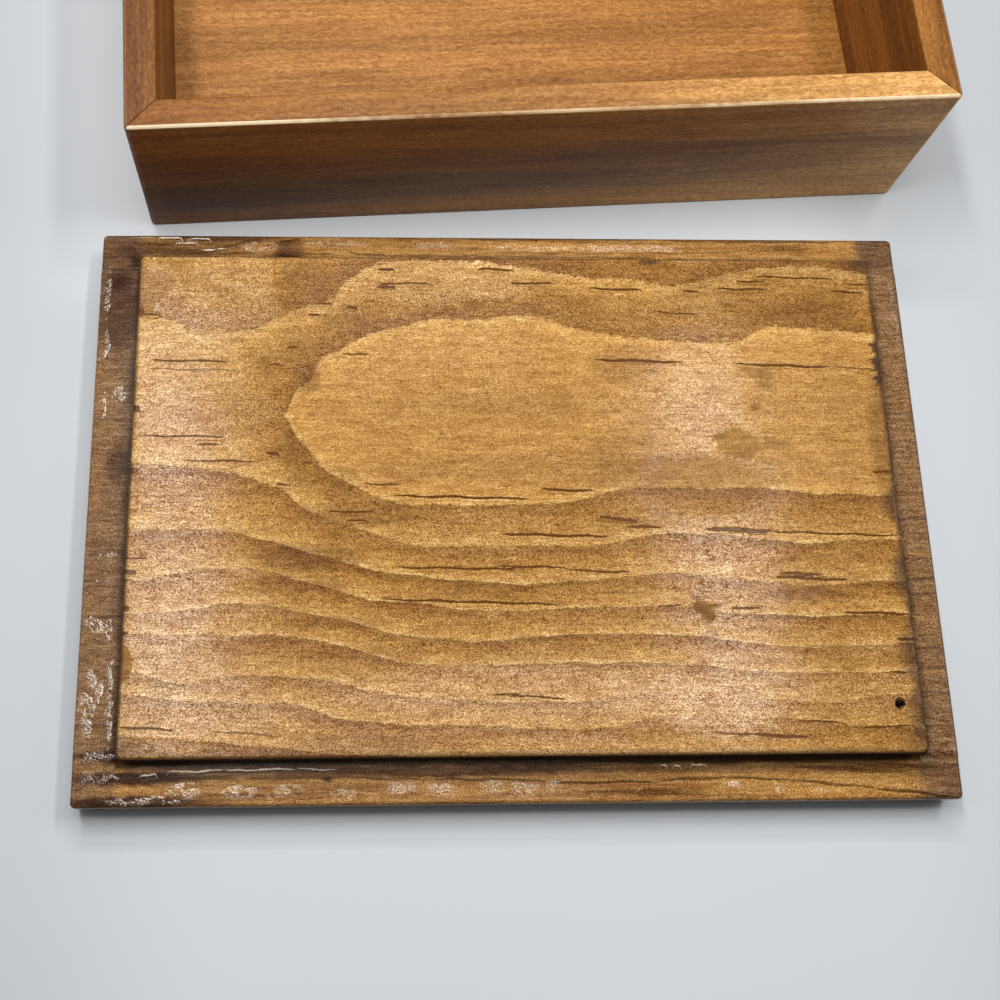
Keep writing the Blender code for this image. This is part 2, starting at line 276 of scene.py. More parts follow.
# Dark growth lines on the lips: start u, end u, start v, end v, width, darkness
LIP_LINES = (
    (-82, -62, -62.6, -63.6, 0.9, 0.6), (-63, -40, -63.6, -63.4, 0.6, 0.5),
    (-41, -20, -63.4, -64.1, 0.45, 0.7), (-21, 6, -64, -64.4, 0.45, 0.75),
    (4, 31, -65.1, -64.9, 0.45, 0.85), (29, 47, -64.9, -64.2, 0.45, 0.75),
    (45, 61, -64.2, -64.9, 0.45, 0.75), (59, 81, -64.8, -66.9, 0.5, 0.75),
    (79, 98.5, -66.8, -69, 0.6, 0.85), (10, 26, -66.8, -67.4, 0.35, 0.5),
    (24, 62, -67.6, -68.4, 0.35, 0.45), (60, 90, -61.8, -63.8, 0.8, 0.6), (62, 92, -60.9, -62, 0.5, 0.5),
    (85, 98, -63.6, -64.4, 0.45, 0.5), (-86, -60, 64.2, 64.6, 0.5, 0.5), (-75, -60, 65, 68.6, 0.7, 0.65),
    (-60.5, -50, 66.5, 68.8, 0.6, 0.65), (-52, -42, 64.6, 64.5, 0.45, 0.65),
    (-40, -26, 65, 63.8, 0.5, 0.65), (-46, -38, 67.4, 66.2, 0.45, 0.5), (-30, 0, 64.2, 64, 0.35, 0.55),
    (0, 40, 64.1, 63.9, 0.35, 0.5), (-12, 40, 68.8, 68.9, 0.6, 0.6), (38, 88, 68.9, 68.6, 0.6, 0.6),
    (-4, 30, 65.3, 65, 0.4, 0.5), (28, 60, 65.2, 65.5, 0.4, 0.5), (10, 45, 68.4, 67.6, 0.35, 0.5),
    (52, 78, 65.8, 66.6, 0.35, 0.5),
)

# Tone of the lips, as soft ovals: u, v, reach along, reach across, and dark (-) or light (+)
LIP_TONES = (
    (-95, 48, 5, 12, -0.7), (-93.7, 9.5, 3, 4.5, -0.7), (-97, 62, 8, 8, -0.4), (-75, 65, 22, 5, -0.45),
    (-53.5, 65, 4, 3.6, -0.85), (-61, 65.6, 5, 2, 0.3), (-20, 66.3, 44, 3, 0.5), (40, 66, 36, 3, 0.6),
    (84, 66, 7, 4, 0.7), (97, 66, 6, 5, -0.35), (-96, -34, 5, 24, 0.05), (-88, -58.3, 13, 1.5, -1),
    (-88, -61.2, 12, 0.9, 0.25), (-87, -63.3, 16, 1.5, -0.95), (-88, -66.2, 12, 0.9, 0.25),
    (-86, -68.3, 17, 1.3, -0.95), (18, 67.2, 28, 0.9, 0.9), (-43.5, -63.9, 1.2, 0.7, -0.9),
    (-30, -65, 45, 3.5, -0.06), (20, -64.5, 30, 2.2, -0.05), (66, -66, 30, 3.4, 0.75),
    (-97.2, 17, 3.6, 24, 0.12), (80, -62.5, 18, 1.4, -0.3), (95, -65, 8, 6, -0.25), (96, 0, 5, 60, 0.1),
    (-32, -62.2, 55, 1.2, -0.5), (30, -62, 42, 1.2, -0.4), (-70, 68.8, 18, 1.2, -0.4),
    (-66, 64.4, 7, 1.4, 0.3),
)

# Lines across the end lips: u of the middle, v, half length, and dark (-) or light (+)
CROSS_LINES = (
    (95, -4.4, 5, -0.5), (95, -12.7, 5, 0.35), (95, -19.2, 5, -0.6), (95, -22.7, 5, -0.5),
    (95, -28.5, 5, 0.3), (95, -35.4, 5, -0.6), (95, -40.2, 5, -0.7), (95, -41, 5, 0.35),
    (95, -45.6, 5, -0.6), (95, -53.3, 5, -0.6), (-95, -12.5, 4.5, -0.5), (-95, -18.7, 4.5, -0.5),
    (-95, -27, 4.5, -0.6), (-95, -29.3, 4.5, -0.5), (-95, -51.7, 5, -0.7), (95, 22, 4.5, -0.3),
    (-95, 20.5, 4, -0.4), (95, -59.8, 6, -0.5), (-94, 36, 4, -0.4),
)

# Thick, lumpy varnish on the lips that glints, plus painted highlights on crests: u, v, reach along, reach
# across, strength
GLINTS = (
    (-75, -66.2, 3.4, 1.6, 1), (-63, -66.4, 3.4, 1.4, 1), (-52, -66.2, 3, 1.3, 0.7),
    (-56.5, -67, 1, 0.9, 0.8), (-40, -67, 3, 1, 0.7), (-27, -66, 3, 1.3, 1), (-18, -66.2, 2.6, 1.4, 1),
    (-7, -65.7, 2, 1.3, 0.9), (0.5, -66, 2.6, 1.4, 1), (7, -66, 1.8, 1.2, 0.9), (48, -66.2, 1.8, 1, 0.8),
    (58.5, -67.2, 1.4, 0.7, 0.6), (68, -67.3, 2, 0.8, 0.6), (-95, -58.4, 4, 1, 0.8),
    (-94, -63.3, 4, 0.9, 0.6), (-84, -68.2, 8, 0.7, 0.9), (-61, 66.5, 5, 1.3, 1), (-42, 67.4, 8, 0.8, 1),
    (-21, 67, 4, 0.7, 0.9), (-14.5, 67.2, 3, 0.6, 0.9), (2, 66.8, 5, 0.7, 0.9), (30, 66.6, 16, 1, 1),
    (12, 66.4, 8, 0.9, 0.9), (-94, 27, 1.5, 1.8, 1), (-98, 53, 0.8, 7, 0.7), (-97.6, 40, 0.6, 4, 0.8),
    (-97.5, 24, 0.5, 4, 0.6), (-97, -29, 2.4, 2.2, 0.9), (-93.4, -30, 0.8, 2.4, 0.7),
    (-97.2, -47, 1.6, 9, 0.9), (-95, -44.5, 0.8, 2.6, 0.9), (-92.6, -47, 0.6, 10, 0.9),
    (-95, -12.5, 2.5, 0.6, 0.5), (-95, -18.7, 2.5, 0.6, 0.5), (98.4, 48, 0.5, 12, 0.6),
)

# Painted highlight lines where varnish pooled on the lips: start u, end u, start v, end v, width, strength
PAINTED_HIGHLIGHT_LINES = (
    (-85.2, -80.6, -62.8, -62.3, 0.26, 0.9), (-79.4, -66, -61.9, -61.6, 0.26, 1),
    (-67, -50, -61.6, -61.5, 0.24, 1), (-50.5, -41, -61.5, -61.6, 0.2, 0.7),
    (31.4, 33.2, -61.5, -61.5, 0.26, 1), (34.4, 36, -61.6, -61.6, 0.26, 1),
    (37.6, 42, -61.5, -61.4, 0.22, 0.8), (-86.4, -80, 68.7, 68.5, 0.26, 1),
    (-79, -73, 68.5, 68.3, 0.26, 1), (-82.6, -76, 67.3, 67.1, 0.22, 0.8),
    (-75.6, -72, 65.3, 65.6, 0.28, 0.9), (-71.6, -69.4, 65.6, 65.9, 0.28, 0.9),
)

# Plug tone beside its growth rings as soft ovals, partly painted sheen in the bands: u, v, reach along, reach
# across, weight
PLUG_TONES_AND_SHEEN = (
    (-48.5, 28, 3.4, 4, -0.6), (-52.5, 10, 5, 4, -0.4), (-49, 52, 9, 7, -0.3), (-49, -15.5, 13, 3.4, -0.6),
    (-50, -21.6, 12, 2.4, -0.4), (-36, -5, 13, 3.4, -0.35), (-40, 43, 6, 4, -0.35),
    (67, -24.4, 11, 2, -0.45), (78, -40, 11, 1.8, -0.35), (30, -7, 16, 3, -0.2), (22, 46.5, 26, 4, -0.15),
    (-15, 52, 22, 5, 0.25), (-60, -36, 14, 2.4, -0.2), (-42, -30.5, 13, 1.8, -0.3),
    (-35, -37, 15, 1.8, -0.22), (74, 45, 12, 4, -0.2), (-10, -23.5, 20, 1.8, -0.22), (0, 22, 30, 3, -0.12),
    (0, -46.5, 44, 7, 0.42), (80, -44, 11, 9, 0.22), (41, -27, 1.9, 1.5, -0.95),
    (42.6, -29.8, 1.2, 1.9, -0.6), (44.2, -26.8, 1.6, 0.5, -0.8), (40.3, -24.6, 1, 1.2, -0.4),
    (43.2, -33, 1.6, 0.8, -0.35), (58.4, 21, 1.2, 0.7, -0.5), (60.6, 29.6, 1.6, 1.4, -0.35),
    (-8.6, 47.6, 2, 0.8, -0.4), (-78.5, 27.5, 1.2, 0.6, -0.5), (-67, 47, 13, 13, 0.4),
    (-74, 18, 18, 16, 0.2), (-72, -28, 20, 16, 0.2), (-70, -51, 24, 8, 0.35), (45, -48, 26, 10, 0.2),
    (48.5, 13.6, 2.4, 0.7, -0.5), (53, 9, 2.2, 0.6, -0.4), (63, 12, 1.6, 0.6, -0.4), (66, 52, 28, 9, -0.3),
    (20, 5.5, 64, 4.5, -0.22), (28, 7, 12, 9, -0.22), (-54, 36, 12, 6, -0.25), (44, -50.5, 13, 6.5, 0.6),
    (28, -44, 10, 6, 0.25), (-46, -57.4, 34, 2.6, -0.35), (8, -57.5, 16, 2.6, 0.3),
    (89.5, 12, 4.5, 22, -0.5), (80, 20, 8, 34, -0.12), (-6, -9, 16, 7, 0.1), (-85.5, 52, 5.5, 6, 0.6),
    (28, 32, 9, 5, -0.3), (-83, -35, 6, 8, 0.3), (-88.8, -39.3, 2.4, 4.2, -0.5), (-45, 3, 11, 4, -0.2),
)


def setting(half, step):
    """Places from -half to half: close together near both ends, and four times a whole number of gaps."""
    middle = 4 * round((half - EDGE_ZONE) / (2 * step))
    ends = 4 * round(EDGE_ZONE / EDGE_STEP / 4)
    low = np.linspace(-half, EDGE_ZONE - half, ends, endpoint=False)
    inside = np.linspace(EDGE_ZONE - half, half - EDGE_ZONE, middle, endpoint=False)
    high = np.linspace(half - EDGE_ZONE, half, ends + 1)
    return np.concatenate((low, inside, high))


def wander(u, v, cell, seed):
    """A smooth random value from -1 to 1 over the board, with bumps about one cell wide."""
    rng = np.random.default_rng(seed)
    lattice = rng.uniform(-1.0, 1.0, (LATTICE, LATTICE))
    x = u / cell[0] + LATTICE_START[0]
    y = v / cell[1] + LATTICE_START[1]
    column = np.floor(x).astype(int)
    row = np.floor(y).astype(int)
    s = x - column
    t = y - row
    s = s * s * (3.0 - 2.0 * s)
    t = t * t * (3.0 - 2.0 * t)
    i, right = column % LATTICE, (column + 1) % LATTICE
    j, above = row % LATTICE, (row + 1) % LATTICE
    low = lattice[i, j] * (1 - s) + lattice[right, j] * s
    high = lattice[i, above] * (1 - s) + lattice[right, above] * s
    return low * (1 - t) + high * t


def smoothstep(low, high, value):
    """0 below low, 1 above high, and an even ramp between them."""
    t = np.clip((value - low) / (high - low), 0.0, 1.0)
    return t * t * (3.0 - 2.0 * t)


def oval(u, v, middle_u, middle_v, reach_u, reach_v):
    """Distance from an oval's middle, 1 on its edge."""
    return np.hypot((u - middle_u) / reach_u, (v - middle_v) / reach_v)


def line_height(points, u):
    """Height v of a growth line at each u, with its corners eased over about a millimetre."""
    places, heights = zip(*points)
    offsets = np.linspace(-1.0, 1.0, 5)
    weights = (0.1, 0.25, 0.3, 0.25, 0.1)
    return sum(w * np.interp(u + o, places, heights) for w, o in zip(weights, offsets))


def count_outwards(ring, away, start, level, lines, spacing):
    """Ring numbers on one side of the heart, where away and the traced lines grow outwards."""
    least_gap = 0.5
    for number, line in enumerate(lines, 2):
        edge = np.maximum(line, start + least_gap)
        share = np.clip((away - start) / (edge - start), 0.0, 1.0)
        ring = np.where(away > start, level + share * (number - level), ring)
        start, level = edge, number
    return np.where(away > start, level + (away - start) / spacing, ring)


def growth_rings(u, v):
    """Ring number at each point: under 1 in the heart, and 1 more past each pale line."""
    v = v + (0.22 * wander(u, v, (6.0, 4.0), 11) + 0.1 * wander(u, v, (1.7, 1.2), 12))
    tip_u, tip_v = HEART_TIP
    in_heart = u > tip_u
    upper = np.where(in_heart, line_height((HEART_TIP,) + HEART_UPPER, u), tip_v)
    lower = np.where(in_heart, line_height((HEART_TIP,) + HEART_LOWER, u), tip_v)
    beyond = np.clip(tip_u - u, 0.0, None)
    on_axis = 1.0 + TIP_RISE * (1.0 - np.exp(-beyond / TIP_REACH))
    above = [line_height(points, u) for points in RINGS_ABOVE]
    below = [-line_height(points, u) for points in RINGS_BELOW]
    ring = count_outwards(np.full(u.shape, 1.0), v, upper, on_axis, above, SPACING_ABOVE)
    ring = count_outwards(ring, -v, -lower, on_axis, below, SPACING_BELOW)
    depth = np.minimum(upper - v, v - lower)
    return np.where((depth > 0) & in_heart, 1.0 - np.clip(depth / HEART_DEPTH, 0.0, 0.95), ring)


def nearest_streak(u, v, streaks):
    """The nearest streak: how far across it each point lies, its half width, and its darkness."""
    reach = 1.0
    fade = 0.1
    offset = np.full(u.shape, reach)
    half_width = np.zeros(u.shape)
    darkness = np.zeros(u.shape)
    for u0, u1, v0, v1, width, dark in streaks:
        along = (u - u0) / (u1 - u0)
        middle = v0 + (v1 - v0) * along + STREAK_WAVE * np.sin((u - u0) * 0.55 + v0)
        across = v - middle
        near = (along > 0) & (along < 1) & (np.abs(across) < np.minimum(reach, np.abs(offset)))
        a = along[near]
        offset[near] = across[near]
        half_width[near] = STREAK_HALF * width * np.clip(4.0 * a * (1.0 - a), 0.0, 1.0) ** 0.4
        darkness[near] = dark * smoothstep(0.0, fade, a) * smoothstep(0.0, fade, 1.0 - a)
    return np.stack((offset, half_width, darkness), -1)


def inside_outline(u, v, outline):
    """True for points inside a closed outline."""
    inside = np.zeros(u.shape, bool)
    for (u0, v0), (u1, v1) in zip(outline, outline[1:] + outline[:1]):
        crosses = (v0 > v) != (v1 > v)
        with np.errstate(divide="ignore", invalid="ignore"):
            at = u0 + (u1 - u0) * (v - v0) / (v1 - v0)
        inside ^= crosses & (u < at)
    return inside


def bare_mask(u, v):
    """1 where the varnish is missing, less where it is dull, 0 elsewhere."""
    ragged_u = u + 0.8 * wander(u, v, (1.3, 1.0), 21)
    ragged_v = v + 0.8 * wander(u, v, (1.3, 1.0), 22)
    mask = smoothstep(1.06, 0.94, oval(u, v, *BARE_SPOT))
    for outline in BARE_PATCHES:
        mask = np.maximum(mask, inside_outline(ragged_u, ragged_v, outline))
    return np.maximum(mask, DULL_SHARE * smoothstep(1.2, 0.6, oval(u, v, *DULL_AREA)))


def plug_stain_and_shade(u, v, grain):
    """Stain at the plug's right edge and in spots, and darker lines along its other edges, the back one
    painted shade.
    """
    from_right = PLUG_U + PLUG_SHIFT - u
    lobes = [smoothstep(1.0, 0.2, np.abs(v - middle) / half) for middle, half in STAIN_LOBES]
    right = smoothstep(1.4 + 4.2 * np.max(lobes, axis=0), 0.4, from_right) * (0.6 + 0.4 * grain)
    length = 1.8 + 1.3 * wander(u, v, (9.0, 0.45), 32)
    among_teeth = smoothstep(*TEETH_HALF, np.abs(v - TEETH_MIDDLE))
    teeth = smoothstep(length + 0.5, length - 0.5, from_right) * among_teeth
    stains_and_shade = [right, teeth]
    from_edge = {"left": u + PLUG_U - PLUG_SHIFT, "front": v + PLUG_V, "back": PLUG_V - v}
    for side, (fade, full, ragged, strength) in EDGE_DARKENING.items():
        stains_and_shade.append(smoothstep(fade, full, from_edge[side] + ragged * grain) * strength)
    for spot_u, spot_v, stretch_u, stretch_v, fade, full, strength in STAIN_SPOTS:
        away = np.hypot((u - spot_u) * stretch_u, (v - spot_v) * stretch_v)
        stains_and_shade.append(smoothstep(fade, full, away) * strength)
    return np.max(stains_and_shade, axis=0)


def lip_stain_and_shade(u, v, grain):
    """Darker lips in the corner at the plug's foot, stain and painted shade, and along the lid's rim."""
    from_plug = np.maximum(np.abs(u - PLUG_SHIFT) - PLUG_U, np.abs(v) - PLUG_V)
    front, back, left, right = FOOT_REACH
    reach = np.select([v < -PLUG_V, v > PLUG_V, u < 0], [front, back, left], right)
    foot = smoothstep(reach, 0.45 * reach, from_plug + 0.4 * wander(u, v, (4.0, 4.0), 33))
    half_u, half_v, _, _ = lid_sizes()
    from_rim = np.minimum(half_u - u, half_v - np.abs(v)) + 0.3 * grain
    return np.maximum(0.9 * foot, 0.6 * smoothstep(1.1, 0.3, from_rim))


def soft_ovals(u, v, ovals, seed):
    """Sum of ragged soft ovals (u, v, reach along, reach across, weight)."""
    ragged_u = u + 0.5 * wander(u, v, (1.6, 1.2), seed)
    ragged_v = v + 0.35 * wander(u, v, (1.6, 1.2), seed + 1)
    total = np.zeros(u.shape)
    for *place, weight in ovals:
        total = total + weight * smoothstep(1.25, 0.6, oval(ragged_u, ragged_v, *place))
    return total


def lip_tone(u, v):
    """How much lighter (+) or darker (-) the lips are at each point."""
    tone = soft_ovals(u, v, LIP_TONES, 51)
    waver = 0.25 * wander(u, v, (2.0, 5.0), 53)
    for middle_u, line_v, half, weight in CROSS_LINES:
        along = smoothstep(0.5, 0.1, np.abs(v + waver - line_v))
        across = smoothstep(1.1, 0.8, np.abs(u - middle_u) / half)
        tone = tone + weight * (along * across)
    return np.clip(tone, -1.0, 1.0)


def spread(values, half, new_half):
    """Moves the last few millimetres of a side outwards, so that straight rows stay straight."""
    known = (0.0, half - EDGE_ZONE, half - EDGE_KEEP, half)
    moved = (0.0, half - EDGE_ZONE, new_half - EDGE_KEEP, new_half)
    return np.sign(values) * np.interp(np.abs(values), known, moved)


def arc(start, end):
    """Quarter turn between two (out, z) points: the first leaves level, the last arrives upright."""
    turns = np.linspace(0.0, math.pi / 2, ARC_ROWS + 1)[1:]
    width = end[0] - start[0]
    fall = end[1] - start[1]
    return [(start[0] + width * math.sin(t), start[1] + fall * (1.0 - math.cos(t))) for t in turns]


def lid_sizes():
    """Half length, half depth and thickness of the lid, and its middle, from the CAD node."""
    low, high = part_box("lid_board")
    middle = (low + high) / 2
    cos, sin = math.cos(abs(LID_YAW)), math.sin(abs(LID_YAW))
    wide = (high.x - low.x) / 2 / MM - LID_CORNER
    deep = (high.y - low.y) / 2 / MM - LID_CORNER
    spread = cos * cos - sin * sin
    half_u = (wide * cos - deep * sin) / spread + LID_CORNER
    half_v = (deep * cos - wide * sin) / spread + LID_CORNER
    return half_u, half_v, (high.z - low.z) / MM, middle


def grid_faces(index):
    """Quads of a grid of vertex numbers, facing up."""
    return np.stack((index[:-1, :-1], index[1:, :-1], index[1:, 1:], index[:-1, 1:]), -1).reshape(-1, 4)


def edge_numbers(index):
    """Vertex numbers once round the edge of a grid, anticlockwise from its low corner."""
    return np.concatenate((index[:-1, 0], index[-1, :-1], index[:0:-1, -1], index[0, :0:-1]))


def lip_height(u, v):
    """Top of the lip: lower along the front and back than at the ends, and falling at the left and front."""
    deeper = smoothstep(-0.25, 0.25, np.abs(v) - PLUG_V)
    fall_left = LEFT_FALL * np.clip(-u - PLUG_U, 0.0, None)
    fall_front = FRONT_FALL * np.clip(-v - PLUG_V, 0.0, None)
    return END_LIP - deeper * (END_LIP - LONG_LIP) - np.maximum(fall_left, fall_front)


def shares(rows):
    """Even shares of a distance after each row, the last of them 1."""
    return np.linspace(0.0, 1.0, rows + 1)[1:]


class LidSurface:
    """The lid's vertices (u, v, z) in mm and its faces: the plug's top, then loops outwards and down."""

    def __init__(self):
        self.half_u, self.half_v, self.thickness, _ = lid_sizes()
        self.top_u = PLUG_U - PLUG_ROUND
        self.top_v = PLUG_V - PLUG_ROUND
        self.u = setting(self.top_u, STEP_U)
        self.v = setting(self.top_v, STEP_V)
        self.points = []
        self.faces = []
        self.joints = []
        self.count = 0
        self.add_plug_top()
        self.add_plug_wall()
        self.add_lips()
        self.add_sides()
        self.add_show_face()

    def place(self, u, v, half_u, half_v, corner):
        """Puts places of the plug's top on the rectangle of these half sizes, with rounded corners."""
        x = spread(u, self.top_u, half_u)
        y = spread(v, self.top_v, half_v)
        s = np.clip((np.abs(x) - (half_u - corner)) / corner, 0.0, 1.0)
        t = np.clip((np.abs(y) - (half_v - corner)) / corner, 0.0, 1.0)
        both = (s > 0) & (t > 0)
        round_u = half_u - corner + corner * s * np.sqrt(1.0 - t * t / 2.0)
        round_v = half_v - corner + corner * t * np.sqrt(1.0 - s * s / 2.0)
        return np.where(both, np.sign(x) * round_u, x), np.where(both, np.sign(y) * round_v, y)

    def around(self, half_u, half_v, corner):
        """The edge of the plug's top, put on the rectangle of these half sizes."""
        return self.place(*self.loop, half_u, half_v, corner)

    def add_grid(self, x, y, z):
        """A level grid of vertices. Gives their numbers."""
        self.points.append(np.stack((x.ravel(), y.ravel(), np.full(x.size, z)), -1))
        index = self.count + np.arange(x.size).reshape(x.shape)
        self.count += x.size
        return index

    def add_loop(self, places, z, shift=0.0):
        """One more loop of vertices, with a row of faces between the last loop and this one."""
        u, v = places
        self.points.append(np.stack((u + shift, v, np.broadcast_to(z, u.shape)), -1))
        numbers = np.arange(self.count, self.count + u.size)
        corners = (self.last, numbers, np.roll(numbers, -1), np.roll(self.last, -1))
        self.faces.append(np.stack(corners, -1))
        self.last = numbers
        self.count += u.size

    def add_plug_top(self):
        """The plug's level top and its rounded edge."""
        grid_u, grid_v = np.meshgrid(self.u, self.v, indexing="ij")
        x, y = self.place(grid_u, grid_v, self.top_u, self.top_v, PLUG_CORNER - PLUG_ROUND)
        index = self.add_grid(x + PLUG_SHIFT, y, self.thickness)
        self.faces.append(grid_faces(index))
        self.last = edge_numbers(index)
        self.loop = grid_u.ravel()[self.last], grid_v.ravel()[self.last]
        for out, z in arc((-PLUG_ROUND, self.thickness), (0.0, self.thickness - PLUG_ROUND)):
            self.add_loop(self.around(PLUG_U + out, PLUG_V + out, PLUG_CORNER + out), z, PLUG_SHIFT)

    def add_plug_wall(self):
        """The plug's upright sides, down to the lips."""
        top = self.thickness - PLUG_ROUND
        places = self.around(PLUG_U, PLUG_V, PLUG_CORNER)
        foot = lip_height(*places)
        for share in shares(WALL_ROWS):
            self.add_loop(places, top + share * (foot - top), PLUG_SHIFT)

    def add_lips(self):
        """The lips, out to where the rim's rounding starts."""
        least_corner = 0.3
        wider_u = self.half_u - EDGE_ROUND - PLUG_U
        wider_v = self.half_v - EDGE_ROUND - PLUG_V
        for share in shares(LIP_ROWS):
            corner = PLUG_CORNER + share * (LID_CORNER - EDGE_ROUND - PLUG_CORNER)
            corner = max(corner, least_corner)
            places = self.around(PLUG_U + share * wider_u, PLUG_V + share * wider_v, corner)
            self.add_loop(places, lip_height(*places), PLUG_SHIFT * (1.0 - share))

    def add_side_loop(self, out, z):
        """A loop on the lid's side, or a little in from it where out is below 0."""
        self.add_loop(self.around(self.half_u + out, self.half_v + out, LID_CORNER + out), z)

    def add_sides(self):
        """The rim's rounding, the lid's sides, and the rounding below them."""
        rim = lip_height(*self.around(self.half_u, self.half_v, LID_CORNER))
        for out, drop in arc((-EDGE_ROUND, 0.0), (0.0, -EDGE_ROUND)):
            self.add_side_loop(out, rim + drop)
        top = rim - EDGE_ROUND
        for share in shares(SIDE_ROWS):
            self.add_side_loop(0.0, top + share * (EDGE_ROUND - top))
        for out, z in reversed(arc((-EDGE_ROUND, 0.0), (0.0, EDGE_ROUND))[:-1]):
            self.add_side_loop(out, z)
        self.add_side_loop(-EDGE_ROUND, 0.0)

    def add_show_face(self):
        """The face that the lid lies on: a coarse grid, joined to the fine edge by a row of wide faces."""
        grid_u, grid_v = np.meshgrid(self.u[::SHOW_STEP], self.v[::SHOW_STEP], indexing="ij")
        x = grid_u / self.top_u * (self.half_u - EDGE_ROUND - SHOW_INSET)
        y = grid_v / self.top_v * (self.half_v - EDGE_ROUND - SHOW_INSET)
        index = self.add_grid(x, y, 0.0)
        self.faces.append(grid_faces(index)[:, ::-1])
        inner = edge_numbers(index).tolist()
        outer = self.last.tolist()
        outer.append(outer[0])
        for k, corner in enumerate(inner):
            fine = outer[SHOW_STEP * k:SHOW_STEP * (k + 1) + 1]
            self.joints.append([corner] + fine + [inner[(k + 1) % len(inner)]])


def carve_plug(points):
    """Gives the plug's top an uneven, hand-sanded skin with slightly raised growth lines."""
    u, v, z = points.T
    on_top = z > lid_sizes()[2] - 1e-6
    skin = SKIN_WAVES * wander(u, v, (17.0, 11.0), 41) + SKIN_BUMPS * wander(u, v, (5.0, 3.0), 42) - SKIN_SINK
    ring = growth_rings(u, v)
    ridge = RING_RIDGE * (smoothstep(0.75, 0.97, ring % 1.0) - 1.0)
    z = np.where(on_top, z + skin + np.where(ring > 1, ridge, 0.0), z)
    return np.stack((u, v, z), -1)


def drill(points):
    """Pin hole of the plug: vertices near its edge move onto it, and those inside it go down."""
    snap_reach = 0.16
    _, _, thickness, _ = lid_sizes()
    away = points[:, :2] - PIN_HOLE
    far = np.hypot(away[:, 0], away[:, 1])
    top = points[:, 2] > thickness - 0.5
    snap = top & (np.abs(far - PIN_RADIUS) < snap_reach)
    scale = np.where(snap, PIN_RADIUS / np.maximum(far, 0.01), 1.0)
    points[:, :2] = PIN_HOLE + away * scale[:, None]
    points[top & ~snap & (far < PIN_RADIUS), 2] = thickness - PIN_DEPTH
    return points


def pin_shade(u, v, z):
    """1 inside the pin hole, 0 outside it."""
    far = np.hypot(u - PIN_HOLE[0], v - PIN_HOLE[1])
    return smoothstep(PIN_RADIUS + 0.25, PIN_RADIUS - 0.05, far) * (z > PLUG_FOOT)


def place_lid(points):
    """The lid's vertices, turned as it lies, in the frame of the part and in metres."""
    _, _, _, middle = lid_sizes()
    cos, sin = math.cos(LID_YAW), math.sin(LID_YAW)
    x = middle.x + MM * (points[:, 0] * cos - points[:, 1] * sin)
    y = middle.y + MM * (points[:, 0] * sin + points[:, 1] * cos)
    return np.stack((x, y, MM * points[:, 2]), -1)


def store(mesh, name, values):
    """Keeps one number or one vector for each vertex under a name that the materials read."""
    kind, field = ("FLOAT", "value") if values.ndim == 1 else ("FLOAT_VECTOR", "vector")
    attribute = mesh.attributes.new(name, kind, "POINT")
    attribute.data.foreach_set(field, np.ascontiguousarray(values, np.float32).ravel())


def paint_lid(mesh, board, on_plug):
    """Keeps what the lid's two materials read, from the board as it was before it was carved."""
    u, v, z = board.T
    grain = 0.5 + 0.5 * wander(u, v, (3.0, 2.2), 31)
    plug_tone_and_sheen = np.clip(soft_ovals(u, v, PLUG_TONES_AND_SHEEN, 59), -1.0, 1.0)
    streaks = np.where(on_plug[:, None], nearest_streak(u, v, STREAKS), nearest_streak(u, v, LIP_LINES))
    store(mesh, "board", board)
    store(mesh, "ring", growth_rings(u, v))
    store(mesh, "streak", streaks)
    store(mesh, "bare", np.where(on_plug, bare_mask(u, v), 0.0))
    store(mesh, "stain_and_shade", np.where(on_plug, plug_stain_and_shade(u, v, grain), lip_stain_and_shade(u, v, grain)))
    store(mesh, "tone", np.where(on_plug, plug_tone_and_sheen, lip_tone(u, v)))
    store(mesh, "painted_highlight", nearest_streak(u, v, PAINTED_HIGHLIGHT_LINES))
    store(mesh, "glint", np.clip(soft_ovals(u, v, GLINTS, 55), 0.0, 1.0))
    store(mesh, "hole", pin_shade(u, v, z))


def build_lid():
    """The lid as one fine mesh, in place of the CAD board."""
    surface = LidSurface()
    board = np.concatenate(surface.points)
    placed = place_lid(drill(carve_plug(board)))
    mesh = bpy.data.meshes.new("lid")
    quads = [tuple(face) for block in surface.faces for face in block.tolist()]
    mesh.from_pydata(placed.tolist(), [], quads + surface.joints)
    u, v, z = board.T
    tolerance = 0.01
    on_plug = (np.abs(u - PLUG_SHIFT) < PLUG_U + tolerance) & (np.abs(v) < PLUG_V + tolerance)
    on_plug &= z > PLUG_FOOT
    paint_lid(mesh, board, on_plug)
    mesh.shade_smooth()
    mesh.update()
    lid = bpy.data.objects.new("lid_pine", mesh)
    bpy.context.scene.collection.objects.link(lid)
    mesh.materials.append(plug_pine())
    mesh.materials.append(lip_pine())
    corners = np.array([polygon.vertices[:4] for polygon in mesh.polygons])
    mesh.polygons.foreach_set("material_index", np.where(on_plug[corners].all(1), 0, 1))
    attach(lid, "lid")
    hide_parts("lid_board")


def colour(red, green, blue):
    """A screen colour of 0 to 255 as the renderer's linear colour."""
    def linear(part):
        share = part / 255
        return share / 12.92 if share <= 0.04045 else ((share + 0.055) / 1.055) ** 2.4
    return (linear(red), linear(green), linear(blue), 1.0)


